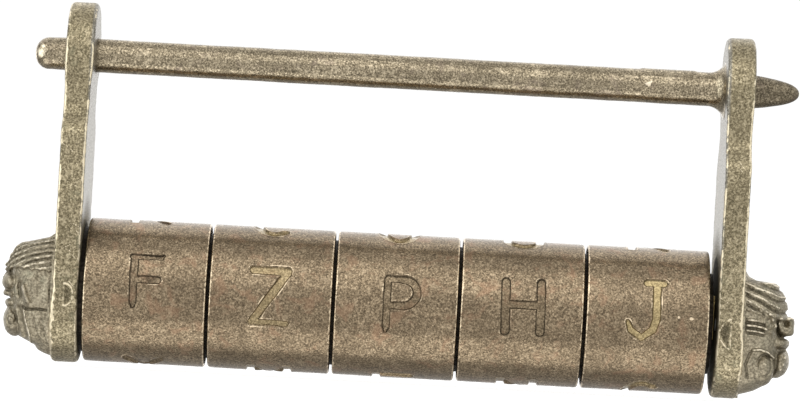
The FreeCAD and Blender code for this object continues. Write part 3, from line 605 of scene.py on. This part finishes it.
def plate(side):
    name, body = ("left", "case") if side < 0 else ("right", "shackle")
    label = f"{name}_end_plate"
    low, high = box(label)
    # the outline, from the vertices of the CAD plate just inside one face
    co = np.array([v.co for v in frame["nodes"][label].data.vertices]) / MM
    wall = co[np.abs(co[:, 0] - (low[0] + 0.4)) < 0.004][:, 1:]
    wall = np.unique(np.round(wall, 3), axis=0)
    inside = np.array([0.0, -20.0])
    flat = Flat(wall[np.argsort(np.arctan2(*(wall - inside).T[::-1]))])
    middle, half = (low[0] + high[0]) / 2, (high[0] - low[0]) / 2
    front = low[1]
    straight, bulge, tall, drop, pointed = MARKS[side]
    straight, bulge = middle + side * half * (2 * straight - 1), middle + side * half * (2 * bulge - 1)

    def mark(p):
        """Distance to the D in the front edge, its straight side towards the head."""
        x, z = p[:, 0], p[:, 2] - AXIS_Z + drop
        wide = abs(straight - bulge)
        out = (x - straight) * -side
        ring = (np.maximum(out, 0) / wide) ** pointed + np.abs(z / tall) ** pointed
        d = (ring ** (1 / pointed) - 1) * 0.9 * wide
        return np.maximum(d, -out)

    def swell(x, z):
        """How much thicker than the flat plate the casting is: outwards all along, most at the foot, and both
        ways at the eye."""
        outwards = side * (x - middle) > 0
        foot = THICKER + FOOT_FLARE * ramp(AXIS_Z - z, -0.5, 4.5)
        return outwards * foot + (EYE_FLARE - 0.1 * outwards) * ramp(z, -4.5, -1.0)

    def beside_head(z):
        return ramp(z, AXIS_Z - 8, AXIS_Z - 6) * ramp(-z, -AXIS_Z - 2.5, -AXIS_Z)

    def field(p):
        x, y, z = p.T
        r = 0.44 + 0.2 * ramp(np.abs(z + 17.5), 17.5, 20)
        qx, qy = flat(y, z) + r, np.abs(x - middle) - half - swell(x, z) + r
        rim = np.exp(-(qx ** 2 + qy ** 2) / 0.5)
        d = np.minimum(np.maximum(qx, qy), 0) + np.hypot(np.maximum(qx, 0), np.maximum(qy, 0)) - r
        lumps = 0.035 * noise(p, 1.1, 11 + side) + 0.035 * noise(p, 0.4, 12)
        lumps = lumps + (side * (x - middle) > 0) * beside_head(z) * 0.1 * noise(p, 0.6, 17)
        d = d + rim * lumps + 0.015 * noise(p, 2.6, 13)
        d = smax(d, -np.maximum(mark(p), y - (front + MARK_DEPTH)), 0.12)
        d = smax(d, -(np.hypot(y, z) - EYE_RADIUS[side]), 0.1)
        for across in PIN_PLACES:
            d = np.maximum(d, -(np.hypot(y - across, z - AXIS_Z) - PIN_RADIUS))
        if side < 0:
            return np.maximum(d, -(np.hypot(y, z - AXIS_Z) - SPINDLE_RADIUS))
        slot = np.maximum(np.abs(y) - COMB_HALF_WIDE, np.abs(z - AXIS_Z - COMB_MIDDLE) - COMB_HALF_TALL)
        return np.maximum(d, -slot)

    margin = np.array([0.9, 0.3, 0.3])
    verts, faces = skin(field, low - margin, high + margin, 0.15)
    x, y, z = verts.T
    # rubbed borders: distance from the sharp edge, where both faces are near
    from_face = np.clip(half + swell(x, z) - np.abs(x - middle), 0, FAR)
    corner = np.hypot(np.clip(-flat(y, z), 0, FAR), from_face)
    outside = side * (x - middle) > 0.8
    broad = outside * beside_head(z) * (0.34 + 0.45 * noise(verts, 0.5, 16))
    ragged = 0.1 * noise(verts, 0.45, 14) + 0.07 * noise(verts, 2.2, 15)
    wear = ramp(-(corner + ragged), -0.42 - broad, -0.12)
    d_mark = mark(verts)
    near_front = ramp(-(y - front), -0.9, -0.2)
    wear = np.maximum(wear * 0.88, near_front * bell(d_mark - 0.14, 0.1) * 0.85)
    scratch = np.zeros(len(verts))
    rng = np.random.default_rng(5 + side)
    for _ in range(SCRATCHES):
        cx, cz = middle + rng.uniform(-1.1, 1.1), rng.uniform(AXIS_Z - 7, 4)
        t = rng.uniform(0.35, 1.2) * rng.choice([-1, 1])
        length = rng.uniform(0.5, 1.5)
        along = (x - cx) * math.sin(t) + (z - cz) * math.cos(t)
        off = (x - cx) * math.cos(t) - (z - cz) * math.sin(t)
        scratch = np.maximum(scratch, bell(off, 0.07) * ramp(-np.abs(along), -length, -length * 0.6))
    wear = np.maximum(wear, near_front * scratch * 0.72)
    # the face beside the wheels gets a painted grey reflection (the floor colours) away from the wheels, and
    # painted shade near the wheels' axis where the wheels shade it
    inner = ramp(-side * (x - middle), half - 0.35, half - 0.1)
    away = np.hypot(y, z - AXIS_Z)
    wheel_shadow = np.maximum(ramp(-away, -8.6, -8.0), 0.55 * ramp(-away, -12.5, -8.2))
    # painted shade on the inner face near the wheels, added to the dirt in the D
    pit = near_front * ramp(-d_mark, -0.02, 0.12) * 0.7 + inner * wheel_shadow
    # floor here is the painted grey reflection on the inner face away from the wheels
    build(f"{name}_plate", verts, faces, body, "bronze_plate", plate_bronze, [label],
          wear=wear, pit=np.clip(pit, 0, 1), floor=inner * (1 - ramp(-away, -10.5, -8.4)))


plate(-1)
plate(1)

# ---------------------------------------------------------------- shackle rod
ROD_RADIUS, TENON_RADIUS, FOOT_CURL = 2.1, 2.05, 2.25
END_LENGTH, END_RADIUS = 1.75, 2.02         # the rounded left end
POINT_RADIUS = 0.02                         # of both ends, where caps close them
ROD_STEP, ROD_SIDES = 0.16, 88


def rod():
    low, high = box("shackle_rod")
    inner, outer = [corner[0] for corner in box("right_end_plate")]
    left_outer = box("left_end_plate")[0][0]
    foot, nose, tip = inner - FOOT_CURL, outer + 0.5, high[0]
    knots = [(low[0], POINT_RADIUS)]
    for t in np.radians(range(12, 91, 6)).tolist():
        knots.append((low[0] + END_LENGTH * (1 - math.cos(t)), END_RADIUS * math.sin(t) ** 0.85))
    knots += [(left_outer + 0.2, 2.06), (-38.6, ROD_RADIUS), (foot, ROD_RADIUS)]
    for t in np.radians(range(8, 75, 6)).tolist():
        knots.append((foot + FOOT_CURL * math.sin(t), ROD_RADIUS + FOOT_CURL * (1 - math.cos(t))))
    knots += [(inner - 0.02, 3.75), (inner, 3.7), (inner + 0.001, TENON_RADIUS), (nose, TENON_RADIUS)]
    for t in range(3, 88, 3):
        k = math.sin(math.radians(t))
        knots.append((nose + (tip - nose) * k, TENON_RADIUS * (1 - 0.5 * k ** 1.3) * (1 - k ** 9) ** 0.5))
    stations = []
    for (xa, ra), (xb, rb) in zip(knots[:-1], knots[1:]):
        parts = max(1, int(math.hypot(xb - xa, rb - ra) / ROD_STEP))
        stations += [(xa + (xb - xa) * i / parts, ra + (rb - ra) * i / parts) for i in range(parts)]
    stations.append((tip, POINT_RADIUS))
    angles = np.linspace(0, 2 * math.pi, ROD_SIDES, endpoint=False)
    reach = {}

    def surface(x, base, turn):
        p = np.stack([x, base * np.cos(turn), base * np.sin(turn)], -1)
        shown = ramp(base, 0.3, 1.2)
        hidden = (x > inner - 0.01) & (x < outer) | (x > left_outer) & (x < -39.0)
        bumps = 0.022 * noise(p, 2.4, 21) + 0.014 * noise(p, 0.6, 22)
        seam = ramp(-np.abs(x - 31.8), -3.7, -3.2) * bell(turn - math.pi / 2, 0.33) * 0.1
        chip = np.hypot(x - 29.4, p[:, 2] - 0.25) + 0.22 * noise(p, 0.25, 24)
        wear = 0.3 * ramp(noise(p, 1.6, 23), 0.2, 0.8) + ramp(-chip, -0.42, -0.25) * (np.cos(turn) > 0)
        reach["wear"] = np.clip(wear + 0.4 * ramp(-x, 44.4, 45.8), 0, 1)
        # painted shade where the rod enters the left plate's eye, and from the right plate's outer face to
        # the tip inside the head
        eye_shadow = 0.5 * ramp(-x, 38.2, 38.9) * ramp(x, -39.2, -38.9)
        reach["pit"] = np.clip(eye_shadow + 0.6 * ramp(x, outer - 0.5, outer), 0, 1)
        return np.where(hidden, base, base + shown * (bumps - 0.02 + seam))

    verts, faces, rows, cols = lathe(stations, angles, surface)
    faces = faces.tolist() + [list(range(cols)), [(rows - 1) * cols + j for j in range(cols)][::-1]]
    build("shackle_bar", verts, faces, "shackle", "bronze_rod", rod_bronze, ["shackle_rod"], **reach)


rod()


# ---------------------------------------------------------------- beast heads
def ball(u, y, v, centre, size):
    """Nearly the distance to an ellipsoid."""
    q = [(a - c) / s for a, c, s in zip((u, y, v), centre, size)]
    near = np.sqrt(q[0] ** 2 + q[1] ** 2 + q[2] ** 2) + 1e-9
    steep = np.sqrt((q[0] / size[0]) ** 2 + (q[1] / size[1]) ** 2 + (q[2] / size[2]) ** 2) + 1e-9
    return near * (near - 1) / steep


HEAD_BREADTH, HEAD_MIDDLE, HEAD_TALL = 7.3, -0.9, 7.7   # half its width, its middle's height, half its height
SWIRL_STEPS = 20


def skull(u, side, v, profile):
    """The head's mass: how far it reaches out at each height, rounded towards both flanks."""
    heights, reach = zip(*profile)
    out = np.interp(v, heights, reach)
    narrowing = np.clip(np.abs((v - HEAD_MIDDLE) / HEAD_TALL), 0, 0.995) ** 3.2
    wide = HEAD_BREADTH * (1 - narrowing) ** 0.36
    round_out = ((np.clip(u, 0, None) / out) ** 2.7 + (side / wide) ** 2.7) ** (1 / 2.7)
    return (round_out - 1) * np.minimum(out, wide) * 0.85


def groove(u, v, points, width):
    """1 on a line of strokes through (u, v), fading to 0 a few widths away."""
    d = chain(u, v, [(a, b, 0.0) for a, b in points])
    return bell(np.maximum(d, 0), width)


def dot(u, v, at, size):
    return np.exp(-((u - at[0]) ** 2 + (v - at[1]) ** 2) / size ** 2)


def swirl(centre, start, turns, r0, r1, tall):
    """Points of a spiral, anticlockwise from the start angle in degrees."""
    points = []
    for k in range(SWIRL_STEPS + 1):
        t = math.radians(start + 360 * turns * k / SWIRL_STEPS)
        r = r0 + (r1 - r0) * k / SWIRL_STEPS
        points.append((centre[0] + r * math.cos(t), centre[1] + tall * r * math.sin(t)))
    return points


def locks(angle, period):
    """Rounded strands with narrow gaps, from -0.55 in a gap to 0.45."""
    return np.abs(np.sin(np.radians(angle * 180 / period))) ** 0.85 - 0.55


def carve(u, v, marks):
    """Depth cut by marks of (depth, width, place). A place is one point or a line of them. Depths below 0
    stand out."""
    depth = 0.0
    for deep, width, place in marks:
        cut = groove(u, v, place, width) if isinstance(place, list) else dot(u, v, place, width)
        depth = depth + deep * cut
    return depth


# Both beasts: how far the mass reaches out from the plate at each height, then the marks cut in each flank.
LEFT_PROFILE = [
    (-8.6, 0.5), (-8.1, 1.9), (-7.7, 2.6), (-7.1, 3.0), (-6.9, 3.5), (-6.2, 4.9), (-4.5, 5.6), (-2.2, 6.1),
    (-0.6, 6.25), (1.0, 6.1), (2.4, 6.35), (3.8, 5.95), (4.9, 5.3), (5.35, 4.6), (5.75, 2.9), (6.2, 1.2),
    (6.8, 0.5)]
LEFT_MARKS = [
    (0.36, 0.3, [(4.5, 0.35), (4.5, -0.3), (4.3, -1.1)]),
    (-0.42, 0.36, [(4.0, 0.0), (3.75, -0.8), (3.3, -1.8)]),
    (0.16, 0.4, [(2.0, 1.3), (1.8, 0.4), (2.1, -0.6)]),
    (-0.14, 0.35, [(2.7, 1.2), (3.6, 1.1)]),
    (-0.16, 0.4, [(0.9, 0.9), (0.9, -1.6)]),
    (0.26, 0.16, [(3.9, -2.5), (3.3, -2.75), (2.2, -2.62), (1.0, -2.72)]),
    (0.26, 0.34, [(4.35, -2.7), (4.15, -3.6), (3.75, -5.0), (3.4, -6.3)]),
    (-0.22, 0.15, [(3.75, -2.95), (3.5, -4.1), (2.95, -5.9), (2.8, -6.9)]),
    (0.2, 0.15, swirl((5.45, -4.1), 100, 1.1, 0.75, 0.25, 1.3)),
    (-0.2, 0.28, (5.55, -4.0)),
    (0.12, 0.16, [(2.6, -3.6), (2.2, -5.2), (1.6, -6.8)]),
    (0.12, 0.16, [(1.6, -3.6), (1.3, -5.2), (0.9, -6.8)])]
# the nose, two lips, the tongue and the chin: centre (out, sideways, up), size and blend
LEFT_LUMPS = [
    ((5.7, 0, 0.45), (1.38, 4.3, 1.2), 0.25), ((6.1, 0, -0.95), (0.75, 3.4, 0.6), 0.25),
    ((5.5, 0, -1.05), (0.75, 4.4, 0.6), 0.25), ((5.6, 0, -2.1), (0.95, 3.6, 0.75), 0.3),
    ((5.2, 0, -4.2), (1.45, 4.6, 2.1), 0.2)]
RIGHT_PROFILE = [
    (-8.6, 0.9), (-8.0, 2.7), (-7.0, 4.4), (-6.4, 4.9), (-5.4, 5.3), (-3.0, 5.4), (0.2, 5.5), (1.6, 6.0),
    (2.9, 6.0), (4.3, 5.35), (5.0, 4.9), (5.35, 4.3), (5.6, 2.2), (6.0, 1.4), (7.2, 0.8)]
RIGHT_MARKS = [(0.4, 0.34, (5.95, 0.55)), (-0.2, 0.2, [(5.1, 1.1), (6.9, 1.15)])]
RIGHT_MARKS += [(-0.32, size, at) for at, size in (
    ((2.4, 2.0), 0.35), ((3.7, 1.6), 0.4), ((4.3, 1.5), 0.3), ((4.0, 0.9), 0.3),
    ((3.2, -0.3), 0.3), ((3.9, -0.5), 0.36), ((4.6, 0.2), 0.3), ((3.0, 1.2), 0.3))]
for level in (0.75, 0.05, -0.55):
    RIGHT_MARKS += [(-0.16, 0.15, [(0.7, level + 0.1), (1.9, level + 0.05), (3.0, level - 0.15)]),
                    (0.14, 0.13, [(0.7, level - 0.23), (1.9, level - 0.3), (3.0, level - 0.5)])]
RIGHT_MARKS += [
    (0.4, 0.17, [(4.7, 0.9), (4.85, -0.6), (5.3, -1.3), (6.6, -1.45)]),
    (0.3, 0.18, [(6.6, -2.7), (5.4, -2.85), (4.9, -3.3), (4.85, -4.8), (4.5, -6.5)]),
    (-0.34, 0.17, [(1.7, -2.85), (2.6, -2.75), (3.6, -3.05), (4.4, -3.7)]),
    (0.15, 0.15, swirl((3.25, -4.7), 0, 1.0, 0.85, 0.85, 1.6)),
    (-0.16, 0.6, (3.3, -4.7)),
    (0.18, 0.16, [(1.4, -3.2), (0.9, -4.6), (1.3, -6.3)])]
RIGHT_MARKS += [(-0.26, 0.25, at) for at in ((5.3, -3.9), (5.7, -4.5), (5.4, -5.2), (5.9, -3.6))]
# the lip, the chin and the cheeks
RIGHT_LUMPS = [
    ((4.9, 0, -1.9), (1.75, 4.6, 1.15), 0.3), ((5.1, 0, -4.2), (1.6, 4.8, 2.1), 0.2),
    ((2.9, 3.3, -5.0), (1.95, 3.5, 2.35), 0.12)]


def left_beast(u, y, v, p):
    """u runs out from the plate, v up from the wheels' axis. The beast is the same on both flanks."""
    side = np.abs(y)
    d = skull(u, side, v, LEFT_PROFILE)
    # hair above a scalloped border, combed back
    border = 2.0 + 0.05 * u + 0.26 * np.abs(np.sin(u * 3.0 + 0.4)) - 0.9 * ramp(u, 5.2, 6.8)
    sag = v + 0.13 * u + 0.012 * u * u
    crown = np.degrees(np.arctan2(side, sag + 1.0))
    hair = ramp(v - border, -0.05, 0.25)
    strands = locks(sag - 0.3 * side + 0.1 * noise(p, 2.4, 41), 0.8)
    d = d - 0.32 * hair * strands - 0.04 * hair * np.sin(np.radians(crown * 360 / 2.3))
    d = d + 0.3 * (1 - hair)
    d = d - 0.3 * bell(v - border, 0.17)
    for centre, size, blend in LEFT_LUMPS:
        d = smin(d, ball(u, side, v, centre, size), blend)
    # the nostrils
    d = smax(d, -ball(u, side, v, (7.0, 0.95, 0.55), (0.5, 0.5, 0.36)), 0.12)
    flank = ramp(side, 1.2, 3.2)
    d = d + flank * carve(u, v, LEFT_MARKS)
    # the mouth and the eyes on the front
    d = d + 0.3 * (1 - flank) * bell(v + 1.5, 0.2) * ramp(u, 4.8, 5.6)
    return d - 0.3 * (1 - flank) * dot(side, v, (1.3, 2.0), 0.8)


def right_beast(u, y, v, p):
    """The same axes as left_beast's; the hair fans out and the muzzle is square."""
    side = np.abs(y)
    d = skull(u, side, v, RIGHT_PROFILE)
    fan = np.degrees(np.arctan2(v - 10.5, u + 14.0)) + 0.25 * side + 0.5 * noise(p, 2.0, 43)
    hair = ramp(v + 0.25 * u, 1.9, 2.5) * ramp(-v, -6.4, -5.4)
    d = d - 0.36 * hair * locks(fan, 3.3) - 0.04 * hair * np.sin(np.radians(fan * 360 / 1.1))
    d = d + 0.2 * (1 - hair)
    square = (np.abs(u - 5.45) / 1.66) ** 4 + (side / 3.3) ** 3 + (np.abs(v - 0.1) / 1.25) ** 4
    d = smin(d, ((square + 1e-9) ** 0.27 - 1) * 1.3, 0.15)
    for centre, size, blend in RIGHT_LUMPS:
        d = smin(d, ball(u, side, v, centre, size), blend)
    flank = ramp(side, 1.2, 3.2)
    d = d + flank * carve(u, v, RIGHT_MARKS)
    # the nostrils and the mouth on the front
    d = d + 0.4 * (1 - flank) * dot(side, v, (0.95, 0.2), 0.35) * ramp(u, 6.0, 6.6)
    return d + 0.3 * (1 - flank) * bell(v + 1.35, 0.2) * ramp(u, 4.8, 5.6)


PLINTH_RADIUS, PLINTH_THICK = 7.85, 0.55
OUT, IN = 0.36, 0.3                         # how far from the surface hollows and edges are felt for


def head(side, beast):
    name, body = ("left", "case") if side < 0 else ("right", "shackle")
    label = f"{name}_beast_head"
    plate_low, plate_high = box(f"{name}_end_plate")
    face = plate_low[0] if side < 0 else plate_high[0]
    low, high = box(label)

    def field(p):
        u, y, v = (p[:, 0] - face) * side, p[:, 1], p[:, 2] - AXIS_Z
        d = beast(u, y, v, p)
        plinth = smax(np.hypot(y, v) - PLINTH_RADIUS - 0.12 * noise(p, 1.1, 45), u - PLINTH_THICK, 0.25)
        d = smin(d, plinth, 0.12)
        d = d + 0.04 * noise(p, 0.8, 46) + 0.025 * noise(p, 0.33, 47)
        return smax(d, -(u - 0.01), 0.05)

    margin = np.array([0.4, 0.3, 0.5])
    verts, faces = skin(field, low - margin, high + margin, 0.14)
    probes = 0.05 * np.eye(3)
    normal = np.stack([field(verts + probe) - field(verts - probe) for probe in probes], -1)
    normal /= np.linalg.norm(normal, axis=1)[:, None] + 1e-9
    # a step off the surface changes the field by less than its length above a hollow and below an edge
    steep = (field(verts + 0.06 * normal) - field(verts - 0.06 * normal)) / 0.12
    hollow = field(verts + OUT * normal) / steep - OUT
    edge = field(verts - IN * normal) / steep + IN
    pit = ramp(-hollow, 0.04, 0.3)
    wear = ramp(edge, 0.03, 0.22) * (1 - pit)
    build(f"{name}_head", verts, faces, body, "bronze_head", head_bronze, [label],
          wear=wear * 0.7, pit=pit * 0.45)


head(-1, left_beast)
head(1, right_beast)

# ---------------------------------------------------------------- studio, in metres
pale = Nodes("studio_paper")
pale.shader.inputs["Emission Color"].default_value = (1.0, 1.0, 1.0, 1.0)
pale.shader.inputs["Emission Strength"].default_value = 0.9
pale.finish((0.22, 0.22, 0.22), 0.9, None, 0.0)
FLOOR_RADIUS, CURVE_RADIUS, WALL_TOP = 2.4, 0.8, 4.0
FLOOR_RINGS = (0.3, 1.2, FLOOR_RADIUS)
FLOOR_GAP = 0.0004
SWEEP_SIDES = 72


def sweep():
    """A round white floor that curves up into a wall on every side. Only the camera sees it."""
    profile = [(r, 0.0) for r in FLOOR_RINGS]
    for t in range(10, 91, 10):
        t = math.radians(t)
        profile.append((FLOOR_RADIUS + CURVE_RADIUS * math.sin(t), CURVE_RADIUS * (1 - math.cos(t))))
    profile.append((FLOOR_RADIUS + CURVE_RADIUS, WALL_TOP))
    floor_z = size_at_load[0][2] - FLOOR_GAP
    verts = []
    for r, z in profile:
        for k in range(SWEEP_SIDES):
            t = 2 * math.pi * k / SWEEP_SIDES
            verts.append((r * math.cos(t), r * math.sin(t), z + floor_z))
    verts.append((0.0, 0.0, floor_z))
    centre = len(verts) - 1
    following = [(k + 1) % SWEEP_SIDES for k in range(SWEEP_SIDES)]
    faces = [(centre, k, following[k]) for k in range(SWEEP_SIDES)]
    for row in range(len(profile) - 1):
        this, above = row * SWEEP_SIDES, (row + 1) * SWEEP_SIDES
        faces += [(this + k, above + k, above + following[k], this + following[k])
                  for k in range(SWEEP_SIDES)]
    mesh = bpy.data.meshes.new("sweep")
    mesh.from_pydata(verts, [], faces)
    mesh.polygons.foreach_set("use_smooth", [True] * len(faces))
    mesh.materials.append(pale.material)
    obj = bpy.data.objects.new("sweep", mesh)
    bpy.context.scene.collection.objects.link(obj)
    obj.visible_diffuse = obj.visible_glossy = obj.visible_transmission = obj.visible_shadow = False


sweep()
stage_middle = (Vector(size_at_load[0]) + Vector(size_at_load[1])) / 2
BOX_DISTANCE = 0.8
COOL = (0.93, 0.98, 1.0)


def softbox(name, low, high, radiance, tint=(1.0, 1.0, 1.0), length=1.6, turn=0.0):
    """A long panel light that fills the directions from low to high degrees above the way to the front. turn
    turns it about Z, in degrees."""
    angle, half = math.radians((low + high) / 2), math.radians((high - low) / 2)
    spin = Matrix.Rotation(math.radians(turn), 3, "Z")
    away = spin @ Vector((0.0, -math.cos(angle), math.sin(angle)))
    across = spin @ Vector((1.0, 0.0, 0.0))
    data = bpy.data.lights.new(name, "AREA")
    data.shape = "RECTANGLE"
    data.size, data.size_y = length, 2 * BOX_DISTANCE * math.tan(half)
    data.energy = radiance * math.pi * data.size * data.size_y
    data.color = tint
    obj = bpy.data.objects.new(name, data)
    obj.location = stage_middle + BOX_DISTANCE * away
    obj.rotation_euler = Matrix((across, away.cross(across), away)).transposed().to_euler()
    obj.visible_camera = False
    bpy.context.scene.collection.objects.link(obj)


softbox("behind", 164, 196, 1.05)
softbox("behind_top", 112, 164, 0.9)
softbox("overhead", 70, 112, 0.42)
softbox("front_high", 24, 70, 1.15)
softbox("front_middle", -40, 25, 0.55)
softbox("front_low", -90, -45, 1.15)
softbox("left_side", -25, 50, 1.4, tint=COOL, turn=-75, length=0.7)
softbox("right_side", -25, 50, 0.8, tint=COOL, turn=75, length=0.7)

world = bpy.data.worlds.new("studio")
bpy.context.scene.world = world
world.use_nodes = True
sky = world.node_tree.nodes["Background"]
sky.inputs["Color"].default_value = (1.0, 1.0, 1.0, 1.0)
sky.inputs["Strength"].default_value = 0.5

# ---------------------------------------------------------------- camera, in metres
DISTANCE, FRAME_WIDTH, ROLL = 0.570, 0.0989, math.radians(3.15)
CAMERA_X, CAMERA_Z = -0.000445, -0.01582
camera = bpy.data.cameras.new("camera")
camera.sensor_width = 36.0
camera.lens = camera.sensor_width * DISTANCE / FRAME_WIDTH
camera.clip_start = 0.01
right = Vector((math.cos(ROLL), 0.0, math.sin(ROLL)))
up = Vector((-math.sin(ROLL), 0.0, math.cos(ROLL)))
back = right.cross(up)
view = bpy.data.objects.new("camera", camera)
view.matrix_world = (Matrix.Translation((CAMERA_X, -DISTANCE, CAMERA_Z))
                     @ Matrix((right, up, back)).transposed().to_4x4())
bpy.context.scene.collection.objects.link(view)
bpy.context.scene.camera = view
bpy.context.scene.view_settings.view_transform = "Standard"
